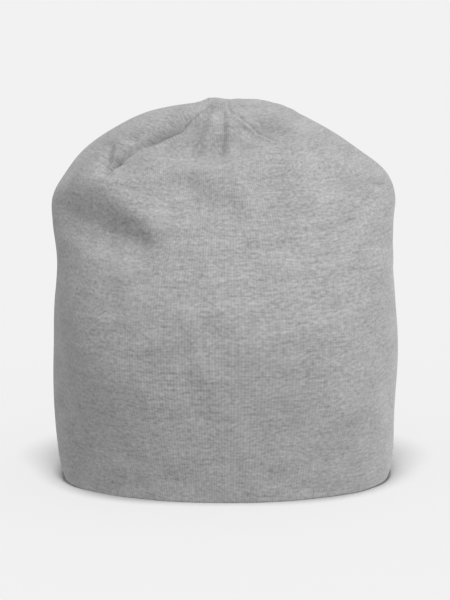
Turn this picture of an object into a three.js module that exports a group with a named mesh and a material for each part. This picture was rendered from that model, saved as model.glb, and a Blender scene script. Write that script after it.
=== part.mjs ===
// A slouchy jersey beanie, standing on its hem.
// The cap is one piece of cloth: a knitted tube, folded up inside itself at the hem so that its wall is
// two plies thick, and closed over the head by four sewn darts that meet at the crown's point.
// Its wall is a smooth round form through a few level sections, with the cap's dents, rolls, darts and
// gathers pressed into it along its own normals, so the hollow inside follows the same folds.
// Millimetres, +Z up, front towards -Y, with -X called left as the cap is seen from the front.
// The origin is on the surface that the cap stands on, under the middle of its outline.
import * as THREE from "three";

// Driving dimensions.
const CLOTH = 2.4; // both plies together
const HEM_FLAT = 1.4; // width of the ring that the folded hem stands on
const HEM_LIFT = 1.4; // height over which the fold rounds into the wall
const COLUMNS = 84; // facets around the cap
const FRONT_SHARE = 0.28; // how much closer together the facets are at the front, where the folds are
const HEATHER_GREY = 0xa6a6a6;

// Named rows from a table's columns and its rows of values.
const table = (columns, rows) =>
  rows.map((row) => Object.fromEntries(columns.map((column, i) => [column, row[i]])));

// Level sections from the hem to the crown's point. left, right and depth are half sizes. setBack is how
// far a section's middle lies behind the hem's. squareness is the power of its rounded outline, 2 for
// an ellipse. rows is the number of facets from it up to the next section.
const SECTIONS = table(
  ["height", "left", "right", "depth", "setBack", "squareness", "rows"],
  [
    [0, 90, 90.5, 64, 0, 2.15, 1],
    [9, 92.2, 93, 65.8, 0, 2.15, 1],
    [32, 93.2, 94.2, 70.5, 0, 2.2, 1],
    [64, 94.5, 95.7, 76, 0, 2.3, 2],
    [96, 94.4, 94.3, 77.5, 0.5, 2.35, 3],
    [121, 92.5, 92.4, 73, 3, 2.3, 4],
    [141.5, 94.7, 92.9, 66, 6, 2.2, 4],
    [155.5, 94.6, 93.8, 60.5, 8, 2.1, 4],
    [168.5, 87.3, 88.4, 54.6, 9.5, 2.1, 4],
    [180.5, 77.9, 73.9, 47, 9.5, 2.05, 4],
    [191.5, 63.4, 59, 36.8, 8.2, 2, 3],
    [201.5, 43.6, 42.3, 26.5, 6.5, 2, 2],
    [206.4, 17, 31, 17.5, 7.5, 2, 1],
    [208.3, 0, 0, 0, 11, 2, 0],
  ],
);

// Folds, each running over the cloth from one azimuth and height to another, and bowed sideways to its
// own left. Azimuths are degrees from the front towards the right. depth is how far the fold is pressed
// in, below zero for a ridge. left and right are its widths on either side, seen from outside on the
// way from start to end. sharp is 2 for a soft fold and less for a crease. fadeIn and fadeOut are the
// shares of its length over which it comes and goes.
const FOLDS = table(
  [
    ...["name", "fromAzimuth", "fromHeight", "toAzimuth", "toHeight", "bow"],
    ...["depth", "left", "right", "sharp", "fadeIn", "fadeOut"],
  ],
  [
    ["left shoulder dent", -89, 149.3, -21, 131.2, 8.5, 6.7, 9.9, 14.2, 2, 0.3, 0.3],
    ["left shoulder ridge", -68, 173.6, -26, 142.4, 0.9, -3.6, 9.5, 8.6, 2, 0.25, 0.3],
    ["left shoulder roll", -84, 169.2, -59, 168, -0.8, -2, 8.9, 9.1, 2, 0.4, 0.3],
    ["front left dart", -50, 207.5, -65, 178, -1.6, 6.8, 9.3, 4.5, 1.5, 0.2, 0.2],
    ["front left dart end", -64, 184, -62, 171.5, 0, 4.3, 4.2, 4.3, 1.6, 0.3, 0.15],
    ["front right dart", 12, 203, 54, 187.9, 0.1, 3.8, 5.7, 6, 1.8, 0.2, 0.4],
    ["front right dart end", 69, 170.2, 83, 163.1, -0.2, 3, 3.2, 3.6, 1.6, 0.3, 0.3],
    ["front gather", 2, 203.4, -2, 181.4, -1.6, 4, 4.1, 7.3, 1.5, 0.3, 0.45],
    ["crown hollow", -45, 182.6, 37, 194.6, 1.4, 6.1, 8.4, 6.5, 2, 0.3, 0.3],
    ["crown edge", -48, 177.7, 56, 179.4, 0.5, -1.9, 6, 7.4, 2, 0.3, 0.3],
    ["front crease", -45, 177.1, 21, 150.6, 2.5, 1.5, 6, 6.9, 2, 0.3, 0.3],
    ["left waist dent", -79, 130, -61, 129, 0, 1.2, 8, 7.9, 2, 0.3, 0.3],
    ["crown point button", -90, 207.9, 90, 207.8, -0.2, -2.3, 5.3, 5.6, 2, 0, 0],
    ["left crown slope", -34, 207.6, -52, 184.4, -1.7, 5.6, 9.1, 9.1, 2, 0.3, 0.3],
    ["gather right lip", 9, 205.7, 12, 194.8, -1.6, -3.6, 4.7, 6.6, 2, 0.35, 0.35],
    ["back left dart", -140, 206.5, -122, 172, 0, 3, 4, 4, 1.5, 0.15, 0.2],
    ["back right dart", 140, 206.5, 122, 172, 0, 3, 4, 4, 1.5, 0.15, 0.2],
    ["back gather", 176, 207.5, 180, 184, 0, 2.6, 6, 6, 1.6, 0.2, 0.5],
    ["back dent", 100, 150, 205, 146, 4, 4, 12, 16, 2, 0.3, 0.3],
    ["back roll", 105, 168, 200, 166, 3, -2, 12, 12, 2, 0.3, 0.3],
  ],
);

const PATH_STEPS = 24; // straight stretches that a fold's path is measured along
const PROBE = 1e-3; // step that slopes are taken over, in radians and in shares of the way up

// The sections' columns at way, from 0 at the hem to 1 at the crown's point: a cubic through the four
// rows around it. Past the point the form is mirrored, which makes it round over there.
function sectionAt(way) {
  const last = SECTIONS.length - 1;
  const index = Math.min(Math.floor(way * last), last - 1);
  const f = way * last - index;
  const at = (i, key) => {
    if (i < 0) return 2 * SECTIONS[0][key] - SECTIONS[1][key];
    if (i <= last) return SECTIONS[i][key];
    const mirrored = ["left", "right", "depth"].includes(key) ? -1 : 1;
    return mirrored * SECTIONS[last - 1][key];
  };
  const cubic = (key) => {
    const [a, b, c, d] = [-1, 0, 1, 2].map((step) => at(index + step, key));
    const square = 2 * a - 5 * b + 4 * c - d;
    const cube = 3 * b - 3 * c + d - a;
    return 0.5 * (2 * b + (c - a) * f + square * f * f + cube * f * f * f);
  };
  return Object.fromEntries(Object.keys(SECTIONS[0]).map((key) => [key, cubic(key)]));
}

// The smooth form: the place at an azimuth, in radians, and a way up.
function formAt(azimuth, way) {
  const section = sectionAt(way);
  const across = Math.sin(azimuth);
  const forward = Math.cos(azimuth);
  const half = Math.max(across < 0 ? section.left : section.right, 1e-6);
  const depth = Math.max(section.depth, 1e-6);
  const n = section.squareness;
  const radius = ((Math.abs(across) / half) ** n + (Math.abs(forward) / depth) ** n) ** (-1 / n);
  return new THREE.Vector3(radius * across, section.setBack - radius * forward, section.height);
}

// The smooth form's outward normal.
function normalAt(azimuth, way) {
  const w = THREE.MathUtils.clamp(way, PROBE, 1 - 3 * PROBE);
  const around = formAt(azimuth + PROBE, w).sub(formAt(azimuth - PROBE, w));
  const up = formAt(azimuth, w + PROBE).sub(formAt(azimuth, w - PROBE));
  return around.cross(up).normalize();
}

// The way up at which the sections reach a height.
function wayAt(height) {
  let low = 0;
  let high = 1;
  for (let i = 0; i < 40; i++) {
    const middle = (low + high) / 2;
    if (sectionAt(middle).height < height) low = middle;
    else high = middle;
  }
  return low;
}

const smooth = (t) => THREE.MathUtils.smoothstep(t, 0, 1);

// A fold's path over the smooth form, with the form's normals along it.
function pathOf(fold) {
  const steps = Array.from({ length: PATH_STEPS + 1 }, (_, i) => i / PATH_STEPS);
  const azimuth = (t) =>
    THREE.MathUtils.degToRad(THREE.MathUtils.lerp(fold.fromAzimuth, fold.toAzimuth, t));
  const way = (t) => wayAt(THREE.MathUtils.lerp(fold.fromHeight, fold.toHeight, t));
  const normals = steps.map((t) => normalAt(azimuth(t), way(t)));
  const straight = steps.map((t) => formAt(azimuth(t), way(t)));
  const points = straight.map((point, i) => {
    const ahead = straight[Math.min(i + 1, PATH_STEPS)];
    const behind = straight[Math.max(i - 1, 0)];
    const side = normals[i].clone().cross(ahead.clone().sub(behind)).normalize();
    return point.clone().addScaledVector(side, fold.bow * Math.sin(Math.PI * steps[i]));
  });
  return { points, normals };
}

// How far one fold presses the cloth in at a place. It is deepest on the fold's path and dies away to
// each side over the fold's width there.
function pressAt(place, fold, { points, normals }) {
  let nearest = { distance: Infinity };
  for (let i = 0; i < PATH_STEPS; i++) {
    const stretch = points[i + 1].clone().sub(points[i]);
    const from = place.clone().sub(points[i]);
    const t = THREE.MathUtils.clamp(from.dot(stretch) / stretch.lengthSq(), 0, 1);
    const off = from.addScaledVector(stretch, -t);
    if (off.length() < nearest.distance) {
      const onLeft = normals[i].clone().cross(stretch).dot(off) > 0;
      nearest = { distance: off.length(), along: (i + t) / PATH_STEPS, onLeft };
    }
  }
  const width = nearest.onLeft ? fold.left : fold.right;
  const come = fold.fadeIn > 0 ? smooth(nearest.along / fold.fadeIn) : 1;
  const go = fold.fadeOut > 0 ? smooth((1 - nearest.along) / fold.fadeOut) : 1;
  return fold.depth * come * go * Math.exp(-((nearest.distance / width) ** fold.sharp));
}

const PATHS = FOLDS.map(pathOf);

// The folded cloth at an azimuth and a way up, as a function that gives the place a depth below its
// outer face.
function clothAt(azimuth, way) {
  const place = formAt(azimuth, way);
  const outwards = normalAt(azimuth, way);
  const pressed = FOLDS.reduce((sum, fold, i) => sum + pressAt(place, fold, PATHS[i]), 0);
  return (below) => place.clone().addScaledVector(outwards, -(pressed + below));
}

// The ways up of the wall's rows, from where the hem's fold ends to just under the crown's point.
function wallRows() {
  const last = SECTIONS.length - 1;
  const ways = SECTIONS.flatMap(({ rows }, index) =>
    Array.from({ length: rows }, (_, i) => (index + i / rows) / last),
  );
  return [wayAt(HEM_LIFT), ...ways.slice(1)];
}

// The folded cloth in one closed row around the cap.
function ringAt(way) {
  const turns = Array.from({ length: COLUMNS }, (_, i) => -Math.PI + (2 * Math.PI * i) / COLUMNS);
  return turns.map((turn) => clothAt(turn - FRONT_SHARE * Math.sin(turn), way));
}

// The whole cap: rings up the outer face to its point, and the same down the inner face to the hem.
function jerseyShell() {
  const hem = ringAt(0);
  const wall = wallRows().map(ringAt);
  const footInset = (CLOTH - HEM_FLAT) / 2;
  const face = (below, hemBelow) => [
    hem.map((cloth) => cloth(hemBelow).setZ(0)),
    ...wall.map((row) => row.map((cloth) => cloth(below))),
  ];
  const outer = face(0, footInset);
  const inner = face(CLOTH, CLOTH - footInset);
  const point = clothAt(0, 1);
  const places = [...outer.flat(), ...inner.flat(), point(0), point(CLOTH)];

  const at = (side, row, column) => (side * outer.length + row) * COLUMNS + (column % COLUMNS);
  const triangles = [];
  // A facet is split along its shorter diagonal, which lets slanting folds run straight.
  const facet = (a, b, c, d) => {
    const short = places[a].distanceTo(places[c]) <= places[b].distanceTo(places[d]);
    triangles.push(...(short ? [a, b, c, a, c, d] : [b, c, d, b, d, a]));
  };
  const top = outer.length - 1;
  for (let i = 0; i < COLUMNS; i++) {
    for (let row = 0; row < top; row++) {
      facet(at(0, row, i), at(0, row, i + 1), at(0, row + 1, i + 1), at(0, row + 1, i));
      facet(at(1, row, i + 1), at(1, row, i), at(1, row + 1, i), at(1, row + 1, i + 1));
    }
    facet(at(1, 0, i), at(1, 0, i + 1), at(0, 0, i + 1), at(0, 0, i));
    triangles.push(at(0, top, i), at(0, top, i + 1), places.length - 2);
    triangles.push(at(1, top, i + 1), at(1, top, i), places.length - 1);
  }

  const geometry = new THREE.BufferGeometry().setFromPoints(places);
  geometry.setIndex(triangles);
  geometry.computeBoundingBox();
  const middle = geometry.boundingBox.getCenter(new THREE.Vector3());
  geometry.translate(-middle.x, -middle.y, 0);
  geometry.computeVertexNormals();
  return geometry;
}

const jersey = new THREE.MeshStandardMaterial({ color: HEATHER_GREY, roughness: 0.95, metalness: 0 });
const shell = new THREE.Mesh(jerseyShell(), jersey);
shell.name = "jersey_shell";

const beanie = new THREE.Group();
beanie.add(shell);

export default beanie;
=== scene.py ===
# %% [markdown]
# # A slouchy jersey beanie
# A knitted tube is folded up inside itself, which makes a wall of two plies with no raw edge at the
# hem, and its top is closed over the head by four sewn darts. It could be cut as flat cloth and sewn
# in a simulation, but the cloth would settle differently from the cap in the picture. So its form is
# worked out here as one smooth surface, with each dent, roll and seam pressed into it by a formula.

# %% Load the frame
import math

import bpy
import numpy as np
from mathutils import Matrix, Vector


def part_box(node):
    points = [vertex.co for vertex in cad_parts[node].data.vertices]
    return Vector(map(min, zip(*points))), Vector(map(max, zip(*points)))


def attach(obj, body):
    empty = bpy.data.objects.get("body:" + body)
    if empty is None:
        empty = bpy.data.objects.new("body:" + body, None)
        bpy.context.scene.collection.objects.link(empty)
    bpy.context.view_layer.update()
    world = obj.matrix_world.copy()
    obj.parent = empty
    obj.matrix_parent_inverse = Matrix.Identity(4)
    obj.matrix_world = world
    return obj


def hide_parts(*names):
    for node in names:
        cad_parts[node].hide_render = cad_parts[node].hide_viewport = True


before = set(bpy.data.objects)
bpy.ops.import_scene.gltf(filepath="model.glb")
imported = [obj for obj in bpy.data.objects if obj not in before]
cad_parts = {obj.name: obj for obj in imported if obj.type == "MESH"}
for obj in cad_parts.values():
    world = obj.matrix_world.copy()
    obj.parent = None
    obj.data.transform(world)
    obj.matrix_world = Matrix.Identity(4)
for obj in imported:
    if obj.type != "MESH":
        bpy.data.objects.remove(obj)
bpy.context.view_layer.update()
shell_box = np.array(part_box("jersey_shell"))
MM = 0.001
print("shell box in mm", (shell_box / MM).round(1).tolist())

# %% [markdown]
# ## The cap's level sections
# Seen from above the standing cap is a rounded oval, so each level is given by its height, its half
# widths to the left and right, its half depth from front to back, how far its middle lies behind the
# hem's, and how square its outline is. The cap could be modelled by hand from a cylinder, but a few
# levels are enough here, because a smooth cubic runs through them, and the table can be read and
# changed by hand. All the sizes are in millimetres.

# %% Table of sections
SECTION_COLUMNS = ("height", "left", "right", "depth", "set_back", "squareness")
SECTIONS = np.array([
    (0, 90, 90.5, 64, 0, 2.15),
    (9, 92.2, 93, 65.8, 0, 2.15),
    (32, 93.2, 94.2, 70.5, 0, 2.2),
    (64, 94.5, 95.7, 76, 0, 2.3),
    (96, 94.4, 94.3, 77.5, 0.5, 2.35),
    (121, 92.5, 92.4, 73, 3, 2.3),
    (141.5, 94.7, 92.9, 66, 6, 2.2),
    (155.5, 94.6, 93.8, 60.5, 8, 2.1),
    (168.5, 87.3, 88.4, 54.6, 9.5, 2.1),
    (180.5, 77.9, 73.9, 47, 9.5, 2.05),
    (191.5, 63.4, 59, 36.8, 8.2, 2),
    (201.5, 43.6, 42.3, 26.5, 6.5, 2),
    (206.4, 17, 31, 17.5, 7.5, 2),
    (208.3, 0, 0, 0, 11, 2),
])
LAST_SECTION = len(SECTIONS) - 1
print(len(SECTIONS), "sections with", SECTION_COLUMNS, "up to", SECTIONS[-1, 0], "mm")


# %% Smooth form through the sections
MIRRORED = [1, -1, -1, -1, 1, 1]  # the sizes change sign past the crown's point
TINY = 1e-6  # keeps the division whole where the sizes are 0


def section_at(way):
    """The table's columns at way, 0 at the hem and 1 at the crown's point.

    A cubic goes through the four rows around it. Its value is half of 2b + (c - a) f +
    (2a - 5b + 4c - d) f^2 + (3b - 3c + d - a) f^3, for rows a, b, c and d and the share f from b
    to c. Past the point the sizes are mirrored, so that the form is round there.
    """
    before = 2 * SECTIONS[0] - SECTIONS[1]
    past = SECTIONS[-2] * MIRRORED
    rows = np.vstack([before, SECTIONS, past])
    place = np.clip(way, 0, 1) * LAST_SECTION
    index = np.minimum(place.astype(int), LAST_SECTION - 1)
    f = (place - index)[..., None]
    a, b, c, d = (rows[index + step] for step in range(4))
    square, cube = 2 * a - 5 * b + 4 * c - d, 3 * b - 3 * c + d - a
    return 0.5 * (2 * b + (c - a) * f + square * f**2 + cube * f**3)


def form_at(azimuth, way):
    """The smooth form's place. The azimuth is in radians from the front towards the right.

    The radius r in a direction solves (|r sin| / half width)^n + (|r cos| / depth)^n = 1.
    """
    height, left, right, depth, set_back, n = np.moveaxis(section_at(way), -1, 0)
    across, forward = np.sin(azimuth), np.cos(azimuth)
    half = np.maximum(np.where(across < 0, left, right), TINY)
    depth = np.maximum(depth, TINY)
    radius = ((np.abs(across) / half) ** n + (np.abs(forward) / depth) ** n) ** (-1 / n)
    return np.stack([radius * across, set_back - radius * forward, height], -1)


def outward_at(azimuth, way, step=1e-3):
    """The form's outward direction: the slope around crossed with the slope up, at length 1."""
    way = np.clip(way, step, 1 - 3 * step)
    around = form_at(azimuth + step, way) - form_at(azimuth - step, way)
    up = form_at(azimuth, way + step) - form_at(azimuth, way - step)
    outward = np.cross(around, up)
    return outward / np.linalg.norm(outward, axis=-1, keepdims=True)


WAYS = np.linspace(0, 1, 2001)
HEIGHTS = section_at(WAYS)[:, 0]


def way_of(height):
    """The way up at which the sections reach a height."""
    return np.interp(height, HEIGHTS, WAYS)


print("way up to the shoulder at 155.5 mm:", way_of(155.5).round(3))

# %% [markdown]
# ## The folds
# Slack cloth stands in dents and rolls, and each one here is a path over the form with a depth that
# fades at its ends and sides. It could be sculpted by hand, but a row of named sizes for each fold
# can be moved, widened or deepened while looking at the picture, and gives the same cloth each time.
# Azimuths are degrees from the front towards the right, and heights and sizes are millimetres. A
# depth below zero is a ridge. left and right are the widths on either side, on the way from start to
# end, and the fades are the shares of the path over which the fold comes and goes.

# %% Table of folds
FOLD_COLUMNS = (
    "from_azimuth", "from_height", "to_azimuth", "to_height", "bow",
    "depth", "left", "right", "sharp", "fade_in", "fade_out",
)
FOLDS = {
    "left shoulder dent": (-89, 149.3, -21, 131.2, 8.5, 6.7, 9.9, 14.2, 2, 0.3, 0.3),
    "left shoulder ridge": (-68, 173.6, -26, 142.4, 0.9, -3.6, 9.5, 8.6, 2, 0.25, 0.3),
    "left shoulder roll": (-84, 169.2, -59, 168, -0.8, -2, 8.9, 9.1, 2, 0.4, 0.3),
    "front left dart": (-50, 207.5, -65, 178, -1.6, 6.4, 9.3, 4.5, 1.5, 0.2, 0.2),
    "front left dart end": (-64, 184, -62, 171.5, 0, 4.3, 4.2, 4.3, 1.6, 0.3, 0.15),
    "front right dart": (12, 203, 54, 187.9, 0.1, 3.4, 5.7, 6, 1.8, 0.2, 0.4),
    "front right dart end": (69, 170.2, 83, 163.1, -0.2, 3, 3.2, 3.6, 1.6, 0.3, 0.3),
    "front gather": (2, 203.4, -2, 181.4, -1.6, 4, 4.1, 7.3, 1.5, 0.3, 0.45),
    "crown hollow": (-45, 182.6, 37, 194.6, 1.4, 6.1, 8.4, 6.5, 2, 0.3, 0.3),
    "crown edge": (-48, 177.7, 56, 179.4, 0.5, -1.9, 6, 7.4, 2, 0.3, 0.3),
    "front crease": (-45, 177.1, 21, 150.6, 2.5, 1.5, 6, 6.9, 2, 0.3, 0.3),
    "left waist dent": (-79, 130, -61, 129, 0, 1.2, 8, 7.9, 2, 0.3, 0.3),
    "crown point button": (-90, 207.9, 90, 207.8, -0.2, -2.3, 5.3, 5.6, 2, 0, 0),
    "left crown slope": (-34, 207.6, -52, 184.4, -1.7, 5.6, 9.1, 9.1, 2, 0.3, 0.3),
    "gather right lip": (9, 205.7, 12, 194.8, -1.6, -3.6, 4.7, 6.6, 2, 0.35, 0.35),
    "back left dart": (-140, 206.5, -122, 172, 0, 2.4, 4, 4, 1.5, 0.15, 0.2),
    "back right dart": (140, 206.5, 122, 172, 0, 2.4, 4, 4, 1.5, 0.15, 0.2),
    "back gather": (176, 207.5, 180, 184, 0, 2.6, 6, 6, 1.6, 0.2, 0.5),
    "back dent": (100, 150, 205, 146, 4, 4, 12, 16, 2, 0.3, 0.3),
    "back roll": (105, 168, 200, 166, 3, -2, 12, 12, 2, 0.3, 0.3),
}
FINE_FOLDS = {
    "front roll": (-20, 167.2, 40, 160.4, 0, -1.4, 8, 8, 2, 0.3, 0.3),
    "gather left slope": (-2, 204, 3, 193, 0, -0.7, 4, 10, 2, 0.4, 0.35),
    "front panel hollow": (-30, 206.6, -24, 193.3, 0.1, 0.9, 7, 4.9, 2, 0.3, 0.3),
    "gather top crease": (-3, 207.6, -1, 197, 0, 3, 2.2, 5, 1.6, 0.25, 0.5),
    "left dart fork": (-74, 189.5, -63, 174.2, -0.4, 3, 2.3, 2.8, 1.6, 0.3, 0.3),
    "right crown streak": (32, 203.1, 61, 194.8, 0.1, 3.7, 4.7, 6.3, 2, 0.3, 0.3),
    "right petal hollow": (24, 202, 62, 189.6, -0.2, 1.5, 7, 8, 2, 0.3, 0.3),
    "gather lip smoothing": (8, 207.5, 12, 195, -1.4, 2.6, 5, 6.4, 2, 0.3, 0.3),
    "left outline kink": (-86, 189, -74, 186, 0, -0.1, 5, 3, 2, 0.3, 0.3),
    "left dimple": (-71, 193.8, -63, 190.6, -0.4, 2.1, 4, 4.5, 2, 0.4, 0.4),
    "right waist": (56, 122, 86, 128, 0, -1.7, 12, 11, 2, 0.3, 0.25),
    "lower front sweep": (-30, 60, 40, 44, 4, 0.5, 16, 18, 2, 0.3, 0.3),
    "lower left roll": (-72, 72, -12, 70, 0, -2, 24, 24, 2, 0.35, 0.4),
    "lower left tuck": (-74, 0.5, -16, 0.5, 0, 1.6, 26, 26, 2, 0.35, 0.4),
    "right side sweep": (50, 90, 80, 40, 5, 0.7, 12, 14, 2, 0.3, 0.3),
    "left side sweep": (-84, 96, -58, 50, -5, 1.2, 12, 14, 2, 0.3, 0.3),
    "back lower sweep": (130, 90, 215, 70, 6, 1.4, 16, 18, 2, 0.3, 0.3),
    "back short crease": (160, 128, 190, 118, 2, 1.2, 6, 7, 1.8, 0.3, 0.3),
}
print(len(FOLDS), "main folds and", len(FINE_FOLDS), "fine ones")


# %% How far a fold presses the cloth in
FOLD_REACH = 3.5  # widths from its path, beyond which a fold is nothing


def smooth(t):
    """An even rise from 0 to 1: 3t^2 - 2t^3."""
    t = np.clip(t, 0, 1)
    return t * t * (3 - 2 * t)


def fold_path(fold, steps=24):
    """Places and outward directions along a fold, straight in azimuth and height.

    The bow moves the middle sideways by bow sin(pi t), towards outward x ahead.
    """
    t = np.linspace(0, 1, steps + 1)
    azimuth = np.radians(fold["from_azimuth"] + t * (fold["to_azimuth"] - fold["from_azimuth"]))
    way = way_of(fold["from_height"] + t * (fold["to_height"] - fold["from_height"]))
    places, outward = form_at(azimuth, way), outward_at(azimuth, way)
    side = np.cross(outward, np.gradient(places, axis=0))
    side /= np.linalg.norm(side, axis=-1, keepdims=True)
    return places + side * (fold["bow"] * np.sin(math.pi * t))[:, None], outward


def fold_press(places, fold):
    """Depth of one fold at many places: depth x fades x exp(-(distance / width)^sharp).

    The distance is to the path's nearest point, and the width is that of the side it lies on.
    """
    path, outward = fold_path(fold)
    reach = FOLD_REACH * max(fold["left"], fold["right"])
    near = np.all((places > path.min(0) - reach) & (places < path.max(0) + reach), axis=-1)
    close = places[near]
    best = np.full(len(close), np.inf)
    along = np.zeros(len(close))
    on_left = np.zeros(len(close), bool)
    stretches = len(path) - 1
    for i in range(stretches):
        stretch = path[i + 1] - path[i]
        away = close - path[i]
        t = np.clip(away @ stretch / (stretch @ stretch), 0, 1)
        off = away - t[:, None] * stretch
        distance = np.linalg.norm(off, axis=1)
        nearer = distance < best
        best = np.where(nearer, distance, best)
        along = np.where(nearer, (i + t) / stretches, along)
        on_left = np.where(nearer, off @ np.cross(outward[i], stretch) > 0, on_left)
    width = np.where(on_left, fold["left"], fold["right"])
    come = smooth(along / fold["fade_in"]) if fold["fade_in"] else 1
    go = smooth((1 - along) / fold["fade_out"]) if fold["fade_out"] else 1
    press = np.zeros(places.shape[:-1])
    press[near] = fold["depth"] * come * go * np.exp(-((best / width) ** fold["sharp"]))
    return press


def folds_press(places, folds):
    """All the folds of a table together."""
    return sum(fold_press(places, dict(zip(FOLD_COLUMNS, row))) for row in folds.values())


# %% [markdown]
# ## The grid over the cloth
# The cloth is a net of columns around the cap and rows up it. The darts are sewn lines, so they need
# sharp creases. A net with even columns would cross them at a slant and break them into steps. Here
# a column runs exactly along each dart, and the others share out the space between the darts.

# %% Columns that follow the darts
DART_HEIGHTS = (150, 166, 174, 183, 189, 194, 200, 204, 207)
DARTS = {  # azimuth in degrees at each of those heights
    "front left": (-61.5, -62, -63.4, -64, -63.2, -59.4, -56.5, -55, -48),
    "front right": (80, 78, 70, 59, 51, 46, 34, 20, 8),
    "back right": (120, 120, 123, 127, 129, 132, 136, 139, 141),
    "back left": (240, 240, 237, 233, 231, 228, 224, 221, 219),
}
COLUMNS = 480
DART_COLUMNS = {"front left": 0, "front right": 202, "back right": 276, "back left": 402}
FRONT_COLUMN = 96  # runs up the front's middle


def dart_azimuth(name, way):
    """A dart's azimuth in degrees at a way up, held level below its end and above its start."""
    return np.interp(section_at(way)[..., 0], DART_HEIGHTS, DARTS[name])


def grid_azimuths(ways):
    """Azimuths in radians, a row for each way and a column for each of the net's.

    The columns are evenly spaced between their neighbours among the darts and the front's middle.
    """
    left, right, back_right, back_left = (dart_azimuth(name, ways) for name in DART_COLUMNS)
    first, *others = DART_COLUMNS.values()
    knots = np.array([first, FRONT_COLUMN, *others, COLUMNS])
    values = np.stack([left, 0 * left, right, back_right, back_left, left + 360])
    column = np.arange(COLUMNS)
    which = np.searchsorted(knots, column, side="right") - 1
    low, high = knots[which], knots[which + 1]
    share = (column - low) / (high - low)
    return np.radians(values[which].T * (1 - share) + values[which + 1].T * share)


# %% Rows from the crown's point down the outside
CLOTH = 2.4  # the two plies together
HEM_LIFT = 1.4  # height of the hem's round fold
ROW_HEIGHTS = (HEM_LIFT, 12, 120, 168, 196, 205.5, 208.1)
ROW_COUNTS = (3, 34, 40, 44, 20, 6)
rows = np.concatenate([
    np.linspace(low, high, count, endpoint=False)
    for low, high, count in zip(ROW_HEIGHTS, ROW_HEIGHTS[1:], ROW_COUNTS)
])
wall_ways = np.append(way_of(rows), way_of(ROW_HEIGHTS[-1]))
azimuths = grid_azimuths(wall_ways)
ways = np.broadcast_to(wall_ways[:, None], azimuths.shape)
form = form_at(azimuths, ways)
outward = outward_at(azimuths, ways)
print("net of", form.shape[0], "rows and", form.shape[1], "columns")


# %% Lengths along the cloth
def lengths_around(places):
    """The step from each column to the next, and the distance to each from the front's middle."""
    steps = np.linalg.norm(np.roll(places, -1, axis=1) - places, axis=-1)
    lengths = np.cumsum(steps, axis=1) - steps
    return steps, lengths - lengths[:, [FRONT_COLUMN]]


ring_steps, ring_lengths = lengths_around(form)
climb = np.linalg.norm(np.diff(form, axis=0), axis=-1)
up_lengths = HEM_LIFT + np.vstack([np.zeros(COLUMNS), np.cumsum(climb, axis=0)])
longest, climbed = ring_steps.sum(1).max(), up_lengths[-1].mean()
print("around the cloth", longest.round(0), "mm, up it", climbed.round(0), "mm")

# %% [markdown]
# ## Dart seams
# A dart is a wedge of cloth taken away and sewn shut. From outside it shows as a narrow groove with
# the cloth rolling over it from both sides. The front darts lie smooth in the picture, and at the
# back the thread draws the rolls into slight puckers. A separate cord of geometry could be laid on
# top, but it would look like piping. The cloth itself is pressed in along the dart's own column, so
# the groove stays crisp.

# %% Grooves and puckers
SEAM_COLUMNS = ("depth", "groove", "lip_left", "lip_right", "end_height", "fade", "pucker")
SEAMS = {
    "front left": (3.4, 1.2, 0.3, 0.5, 171, 9, 0),
    "front right": (0.6, 1.0, 0.5, 0.1, 186, 8, 0),
    "back right": (1.2, 1.3, 0.5, 0.4, 168, 12, 0.08),
    "back left": (1.2, 1.3, 0.5, 0.4, 168, 12, 0.08),
}
GROOVE_SHARP = 1.3
LIP_AWAY = 3.0  # how far from the seam its rolls are highest
LIP_WIDTH = 1.8
SEAM_TOP = 2.5  # height under the crown's point over which the seams die away
PUCKER_PITCH = 4.3
PUCKER_DRIFT = 7.0  # length over which the puckers' spacing wanders
PUCKER_REACH = 5.0  # how far from the seam they die away
PUCKER_CLEAR = 1.2  # how near the seam they begin


def seam_press(name):
    """A seam's depth: a groove, less a roll on each side, and the puckers.

    The groove is depth x exp(-(s / groove)^GROOVE_SHARP), where s is the distance around the cap
    from the seam's own column. Each roll is a bell at LIP_AWAY, and the puckers are a wave along
    the seam that dies away from it. All of it comes in over the fade above the dart's lower end,
    and dies away over SEAM_TOP under the crown's point.
    """
    seam = dict(zip(SEAM_COLUMNS, SEAMS[name]))
    away = ring_lengths - ring_lengths[:, [DART_COLUMNS[name]]]
    whole = ring_steps.sum(1, keepdims=True)
    away = (away + whole / 2) % whole - whole / 2
    groove = seam["depth"] * np.exp(-((np.abs(away) / seam["groove"]) ** GROOVE_SHARP))
    lip = np.where(away < 0, seam["lip_left"], seam["lip_right"])
    roll = lip * np.exp(-(((np.abs(away) - LIP_AWAY) / LIP_WIDTH) ** 2))
    drift = 0.5 * np.sin(up_lengths / PUCKER_DRIFT)
    wave = np.sin(2 * math.pi * up_lengths / PUCKER_PITCH + drift)
    beside = np.exp(-((away / PUCKER_REACH) ** 2)) * (1 - np.exp(-((away / PUCKER_CLEAR) ** 2)))
    pucker = seam["pucker"] * wave * beside
    come = smooth((form[..., 2] - seam["end_height"]) / seam["fade"])
    go = smooth((SECTIONS[-1, 0] - form[..., 2]) / SEAM_TOP)
    return come * go * (groove - roll + pucker)


# %% Slow waves
WAVES_TOP = 12  # the slow waves die away over the last twelfth of the way up
WAVES = (  # waves around, millimetres of height per wave, phase in turns, size in millimetres
    (3, 140, 0.10, 0.35), (5, 90, 0.55, 0.30), (8, 120, 0.30, 0.22), (11, 60, 0.80, 0.16),
    (17, 75, 0.05, 0.12), (23, 48, 0.65, 0.09), (31, 66, 0.40, 0.07),
)


def slow_waves(azimuth, height):
    """Soft unevenness: a sum of size x sin(turns around + turns upwards + phase)."""
    turns = azimuth / (2 * math.pi)
    return sum(
        size * np.sin(2 * math.pi * (count * turns + height / pitch + phase))
        for count, pitch, phase, size in WAVES
    )


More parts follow.
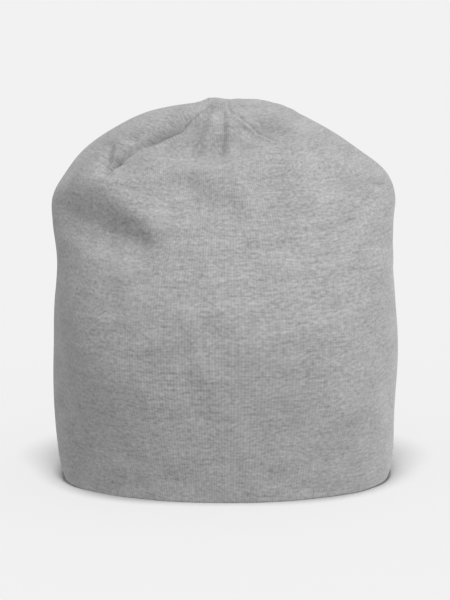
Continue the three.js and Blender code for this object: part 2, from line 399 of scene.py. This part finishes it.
press = folds_press(form, FOLDS) + folds_press(form, FINE_FOLDS)
press += sum(seam_press(name) for name in SEAMS)
crown_fade = smooth((1 - ways) * WAVES_TOP)
press += slow_waves(azimuths, form[..., 2]) * crown_fade
print("pressed in by", press.max().round(1), "mm and out by", -press.min().round(1), "mm at most")

# %% [markdown]
# ## Two plies and the folded hem
# The same cloth goes up the outside and down the inside, and the fold between them is the hem. A
# Solidify modifier could thicken one surface, but its rim would be a flat cut. Here one net runs
# from the crown's point down the outer ply, round a soft half ellipse at the hem, and up the inner
# ply to the point again, so the hem is a real fold and the wall is closed.

# %% The whole surface
HEM_STEPS = 8
INNER_EVERY = 4  # the inner ply takes every fourth row of the outer one


def ply(below):
    """The folded cloth's places, a depth below its outer face along the outward direction."""
    return form - outward * (press + below)[..., None]


def hem_fold():
    """A half ellipse from the outer face round to the inner one, on the floor at its lowest.

    At the angle a the depth is half the cloth x (1 - cos a), and the height is lift x (1 - sin a).
    """
    angle = np.linspace(0, math.pi, HEM_STEPS + 2)[1:-1, None, None]
    below = CLOTH / 2 * (1 - np.cos(angle))
    foot = form[:1] - outward[:1] * (press[:1, :, None] + below)
    foot[..., 2] = HEM_LIFT * (1 - np.sin(angle[..., 0]))
    return foot


outer = ply(0)[::-1]
inner = ply(CLOTH)[::INNER_EVERY]
inner_top = ply(CLOTH)[-1:]
cloth = np.concatenate([outer, hem_fold(), inner, inner_top])
tip_way = np.array([1.0])
facing = np.array([0.0])
tip = form_at(facing, tip_way) - outward_at(facing, tip_way) * press[-1].mean()
tips = np.vstack([tip, tip - [0, 0, CLOTH]])
lowest, highest = cloth.min((0, 1)), cloth.max((0, 1))
shift = (lowest + highest) / 2 * [1, 1, 0]  # puts the outline's middle over the origin
cloth = cloth - shift
tips = tips - shift
print("cloth from", (lowest - shift).round(1), "to", (highest - shift).round(1))


# %% Mesh from the net
def net_faces(count_rows, count_columns):
    """Four corners for each cell of a net that is closed around, in an order that faces out."""
    row, column = np.meshgrid(np.arange(count_rows - 1), np.arange(count_columns), indexing="ij")
    following = (column + 1) % count_columns
    corners = [row * count_columns + column, (row + 1) * count_columns + column]
    corners += [(row + 1) * count_columns + following, row * count_columns + following]
    return np.stack(corners, -1).reshape(-1, 4)


def cap_mesh(name):
    """The net's cells and two fans of triangles that close the crown's points."""
    count = cloth.shape[0]
    vertices = np.vstack([cloth.reshape(-1, 3), tips]) * MM
    column = np.arange(COLUMNS)
    following = (column + 1) % COLUMNS
    top, bottom = len(vertices) - 2, len(vertices) - 1
    upper = np.stack([column, following, np.full(COLUMNS, top)], -1)
    last = (count - 1) * COLUMNS
    lower = np.stack([last + following, last + column, np.full(COLUMNS, bottom)], -1)
    mesh = bpy.data.meshes.new(name)
    faces = net_faces(count, COLUMNS).tolist() + upper.tolist() + lower.tolist()
    mesh.from_pydata(vertices.tolist(), [], faces)
    mesh.shade_smooth()
    return mesh


mesh = cap_mesh("knitted_cap")
cap = bpy.data.objects.new("knitted_cap", mesh)
bpy.context.scene.collection.objects.link(cap)
print(cap.name, len(mesh.polygons), "faces")

# %% [markdown]
# ## Directions of the knit
# Jersey has fine upright ribs, called wales, and rows of stitches, called courses, which run level.
# A pattern laid on the object's own axes would shear over the crown. So each petal, the piece of
# cloth between two darts, gets flat coordinates: across from its middle, and up from the hem, both
# measured on the cloth. They break at the darts, where the real cloth is cut.

# %% Flat coordinates of the cloth
PETAL_START = 172  # height above which the cloth is parted at the darts
PETAL_EDGES = np.array([*DART_COLUMNS.values(), COLUMNS])
dart_row = np.argmin(np.abs(rows - PETAL_START))
folded_steps, folded_lengths = lengths_around(ply(0))


def petal_middles():
    """For each column of cells, the column up the middle of its petal."""
    middles = (PETAL_EDGES[:-1] + PETAL_EDGES[1:]) // 2
    middles[0] = FRONT_COLUMN
    petal = np.searchsorted(PETAL_EDGES, np.arange(COLUMNS), side="right") - 1
    return middles[petal]


def across_cloth():
    """Distance across, in each of the four petals: its middle's distance plus the way from there.

    Below the darts' ends each row takes the distances of the row at the ends, so nothing breaks.
    """
    level = folded_lengths[dart_row]
    lengths = np.where(np.arange(len(form))[:, None] < dart_row, level, folded_lengths)
    whole = folded_steps.sum(1, keepdims=True)
    whole[:dart_row] = whole[dart_row]
    lengths = np.concatenate([lengths, lengths[:, :1] + whole], axis=1)
    level = np.append(level, level[0] + whole[dart_row])
    centre = petal_middles()
    start = level[centre] - lengths[:, centre]
    return [start + lengths[:, side : COLUMNS + side] for side in (0, 1)]


def up_cloth():
    """Distance up: each column's own below the darts' ends, above them as in its petal's middle.

    So a course that is level in the cloth stays level beside a slanting dart.
    """
    middle = up_lengths[:, petal_middles()]
    above = (np.arange(len(form)) > dart_row)[:, None]
    own = [np.roll(up_lengths, -side, axis=1) for side in (0, 1)]
    return [np.where(above, up[dart_row] + middle - middle[dart_row], up) for up in own]


def row_of_net():
    """For each row of the whole net, the wall row that its knit follows."""
    out = np.arange(len(form))[::-1]
    hem = np.zeros(HEM_STEPS, int)
    inside = np.append(np.arange(0, len(form), INNER_EVERY), len(form) - 1)
    return np.concatenate([out, hem, inside])


HEM_KNIT = 0.8 * HEM_LIFT  # the knit's height at the fold's first step, and below 0 at its last


def cloth_uv():
    """A pair of coordinates in metres for each corner of each face."""
    near, far = across_cloth()
    row = row_of_net()
    up_near, up_far = (up[row] for up in up_cloth())
    hem_rows = slice(len(form), len(form) + HEM_STEPS)
    for up in (up_near, up_far):
        up[hem_rows] = np.linspace(HEM_KNIT, -HEM_KNIT, HEM_STEPS)[:, None]
        up[hem_rows.stop :] *= -1
    net_near, net_far = near[row], far[row]
    corners = [(net_near[:-1], up_near[:-1]), (net_near[1:], up_near[1:])]
    corners += [(net_far[1:], up_far[1:]), (net_far[:-1], up_far[:-1])]
    cells = np.stack([np.stack(pair, -1) for pair in corners], 2)
    left, right = near[-1], far[-1]
    centre = (left + right) / 2
    tip_up = np.full((COLUMNS, 3), up_near[0].mean())
    upper = np.stack([np.stack([left, right, centre], -1), tip_up], -1)
    lower = np.stack([np.stack([right, left, centre], -1), -tip_up], -1)
    return np.vstack([part.reshape(-1, 2) for part in (cells, upper, lower)]) * MM


layer = mesh.uv_layers.new(name="cloth")
layer.data.foreach_set("uv", cloth_uv().ravel())
print("flat coordinates for", len(layer.data), "corners")

# %% [markdown]
# ## Heather jersey
# Heather yarn is spun from pale and dark fibres together, so each course of stitches is streaked
# along its length, and in patches the wales show as faint upright lines. Each stitch could be
# modelled, but there are tens of thousands, smaller than a point of the picture. So the streaks are
# noise that is stretched along the courses, at four sizes, and the stitches are a small relief of
# pointed loops. Cotton jersey is dull, with a soft bloom of loose fibres, which the sheen gives.

# %% Node helpers
def node(tree, kind, **inputs):
    """A new node with some inputs set, by name with _ for a space, or by place as i0, i1."""
    made = tree.nodes.new(kind)
    for key, value in inputs.items():
        place = int(key[1:]) if key[1:].isdigit() else key.replace("_", " ")
        socket = made.inputs[place]
        if isinstance(value, bpy.types.NodeSocket):
            tree.links.new(value, socket)
        else:
            socket.default_value = value
    return made


def math_node(tree, operation, *values):
    """A Math node of one operation, as its result."""
    made = node(tree, "ShaderNodeMath", **{f"i{i}": value for i, value in enumerate(values)})
    made.operation = operation
    return made.outputs[0]


def streaks(tree, flat, long, tall, detail=2.0):
    """Noise on the flat coordinates, stretched so that a blotch is long x tall in millimetres."""
    scale = (1 / (long * MM), 1 / (tall * MM), 1)
    scaled = node(tree, "ShaderNodeMapping", Vector=flat, Scale=scale).outputs[0]
    look = {"Scale": 1.0, "Detail": detail, "Roughness": 0.5}
    return node(tree, "ShaderNodeTexNoise", Vector=scaled, **look).outputs[0]


# %% Heather grey jersey
GREY = 0.35
STREAKS = (  # length and height of the blotches in millimetres, and how strongly they show
    (1.7, 1.4, 0.95),
    (3.8, 1.6, 0.52),
    (14, 3, 0.32),
    (20, 12, 0.45),
)
WALE = 1.15  # width of one rib
COURSE = 0.85  # height of one row of stitches
WALE_PATCH = (30, 22)  # size of the patches in which the wales show
WALE_TONE = 0.05
FUZZ = (1.6, 0.8)  # size of the loose fibres in the relief
FUZZ_HEIGHT = 1.2
RELIEF = 0.12 * MM


def heather_jersey():
    """Grey x (1 + the sum of strength x (noise - 0.5) + the wales), and a relief of stitches.

    A wale is a sine across the cloth. A stitch's loop is a sine up it, moved by a zigzag across,
    so it comes to a point in the middle of each wale.
    """
    material = bpy.data.materials.new("heather_jersey")
    material.use_nodes = True
    tree = material.node_tree
    shader = tree.nodes["Principled BSDF"]
    flat = node(tree, "ShaderNodeUVMap")
    flat.uv_map = "cloth"
    flat = flat.outputs[0]
    across, up, _ = node(tree, "ShaderNodeSeparateXYZ", Vector=flat).outputs

    tone = 1.0
    for long, tall, strength in STREAKS:
        noise = streaks(tree, flat, long, tall)
        uneven = math_node(tree, "SUBTRACT", noise, 0.5)
        tone = math_node(tree, "MULTIPLY_ADD", uneven, strength, tone)

    turns = math_node(tree, "MULTIPLY", across, 1 / (WALE * MM))
    wave = math_node(tree, "SINE", math_node(tree, "MULTIPLY", turns, 2 * math.pi))
    patches = streaks(tree, flat, *WALE_PATCH, detail=1.0)
    patches = math_node(tree, "MULTIPLY", patches, WALE_TONE)
    tone = math_node(tree, "MULTIPLY_ADD", wave, patches, tone)
    grey = math_node(tree, "MULTIPLY", tone, GREY)
    colour = node(tree, "ShaderNodeCombineColor", Red=grey, Green=grey, Blue=grey)
    tree.links.new(colour.outputs[0], shader.inputs["Base Color"])

    point = math_node(tree, "PINGPONG", turns, 0.5)
    courses = math_node(tree, "MULTIPLY_ADD", up, 1 / (COURSE * MM), point)
    loops = math_node(tree, "SINE", math_node(tree, "MULTIPLY", courses, 2 * math.pi))
    relief = math_node(tree, "MULTIPLY_ADD", wave, 0.6, math_node(tree, "MULTIPLY", loops, 0.4))
    fuzz = streaks(tree, flat, *FUZZ)
    relief = math_node(tree, "MULTIPLY_ADD", fuzz, FUZZ_HEIGHT, relief)
    bump = node(tree, "ShaderNodeBump", Strength=0.5, Distance=RELIEF, Height=relief)
    tree.links.new(bump.outputs[0], shader.inputs["Normal"])

    shader.inputs["Roughness"].default_value = 0.95
    shader.inputs["Specular IOR Level"].default_value = 0.2
    shader.inputs["Sheen Weight"].default_value = 0.4
    shader.inputs["Sheen Roughness"].default_value = 0.5
    return material


mesh.materials.append(heather_jersey())
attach(cap, "root")
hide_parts("jersey_shell")
print("material", mesh.materials[0].name)

# %% [markdown]
# ## Floor, light and camera
# The cap stands on a plain pale floor that fills the view. In a studio a thing and its background
# are often lit apart, so that each gets its own tone, and light linking does the same here. Two
# broad lights stand on the right in front, one high and one low, and fall on the cap alone, so its
# left side is a little darker. A third falls from above on the floor alone, which gives the hem a
# soft shadow. The room's even light fills the rest, and the floor throws no light back on the cap.

# %% Floor
FLOOR_REACH = 9  # metres from the cap, enough to fill the view
FLOOR_GREY = 0.4
floor_mesh = bpy.data.meshes.new("pale_floor")
corners = [(x * FLOOR_REACH, y * FLOOR_REACH, 0) for x, y in ((-1, -1), (1, -1), (1, 1), (-1, 1))]
floor_mesh.from_pydata(corners, [], [(0, 1, 2, 3)])
floor = bpy.data.objects.new("pale_floor", floor_mesh)
bpy.context.scene.collection.objects.link(floor)
pale = bpy.data.materials.new("pale_floor")
pale.use_nodes = True
finish = pale.node_tree.nodes["Principled BSDF"].inputs
finish["Base Color"].default_value = (FLOOR_GREY, FLOOR_GREY, FLOOR_GREY, 1)
finish["Roughness"].default_value = 1.0
finish["Specular IOR Level"].default_value = 0.0
floor_mesh.materials.append(pale)
floor.visible_diffuse = False
print("floor of", 2 * FLOOR_REACH, "m with a grey of", FLOOR_GREY)

# %% Lights
ROOM_LIGHT = 0.56
# name, what it lights, degrees right of the front, degrees up, strength, width in degrees
LIGHTS = (
    ("key", cap, 38, 60, 1.65, 36),
    ("low key", cap, 38, 22, 0.87, 36),
    ("ceiling", floor, 0, 78, 5.32, 18),
)


def soft_sun(name, lit, azimuth, height, strength, width):
    """A light from far away, from a direction, softened over a width, that lights one thing."""
    light = bpy.data.lights.new(name, "SUN")
    light.energy = strength
    light.angle = math.radians(width)
    lamp = bpy.data.objects.new(name, light)
    lamp.rotation_euler = (math.radians(90 - height), 0, math.radians(azimuth))
    bpy.context.scene.collection.objects.link(lamp)
    lamp.light_linking.receiver_collection = bpy.data.collections.new(name + "_lights")
    lamp.light_linking.receiver_collection.objects.link(lit)


for row in LIGHTS:
    soft_sun(*row)
world = bpy.data.worlds.new("room")
bpy.context.scene.world = world
world.use_nodes = True
world.node_tree.nodes["Background"].inputs["Color"].default_value = (1, 1, 1, 1)
world.node_tree.nodes["Background"].inputs["Strength"].default_value = ROOM_LIGHT
bpy.context.scene.view_settings.view_transform = "Standard"
print(len(LIGHTS), "lights and the room's", ROOM_LIGHT)

# %% Camera
CAMERA_DOWN = math.radians(12.3)  # how far below level it looks
CAMERA_AWAY = 2200 * MM
CAMERA_AIM = np.array([0, 0, 98.7]) * MM
PIXEL = 0.552 * MM  # width of one pixel of the picture at the cap
PICTURE_HEIGHT = 600  # pixels
SENSOR = 36  # width of the camera's film, which lies along the picture's longer side
FARTHEST = 100
camera_data = bpy.data.cameras.new("camera")
camera = bpy.data.objects.new("camera", camera_data)
bpy.context.scene.collection.objects.link(camera)
ahead = np.array([0, math.cos(CAMERA_DOWN), -math.sin(CAMERA_DOWN)])
camera.location = CAMERA_AIM - ahead * CAMERA_AWAY
camera.rotation_euler = (math.pi / 2 - CAMERA_DOWN, 0, 0)
camera_data.lens = SENSOR * CAMERA_AWAY / (PICTURE_HEIGHT * PIXEL)
camera_data.clip_end = FARTHEST
bpy.context.scene.camera = camera
print("camera at", np.array(camera.location).round(3))
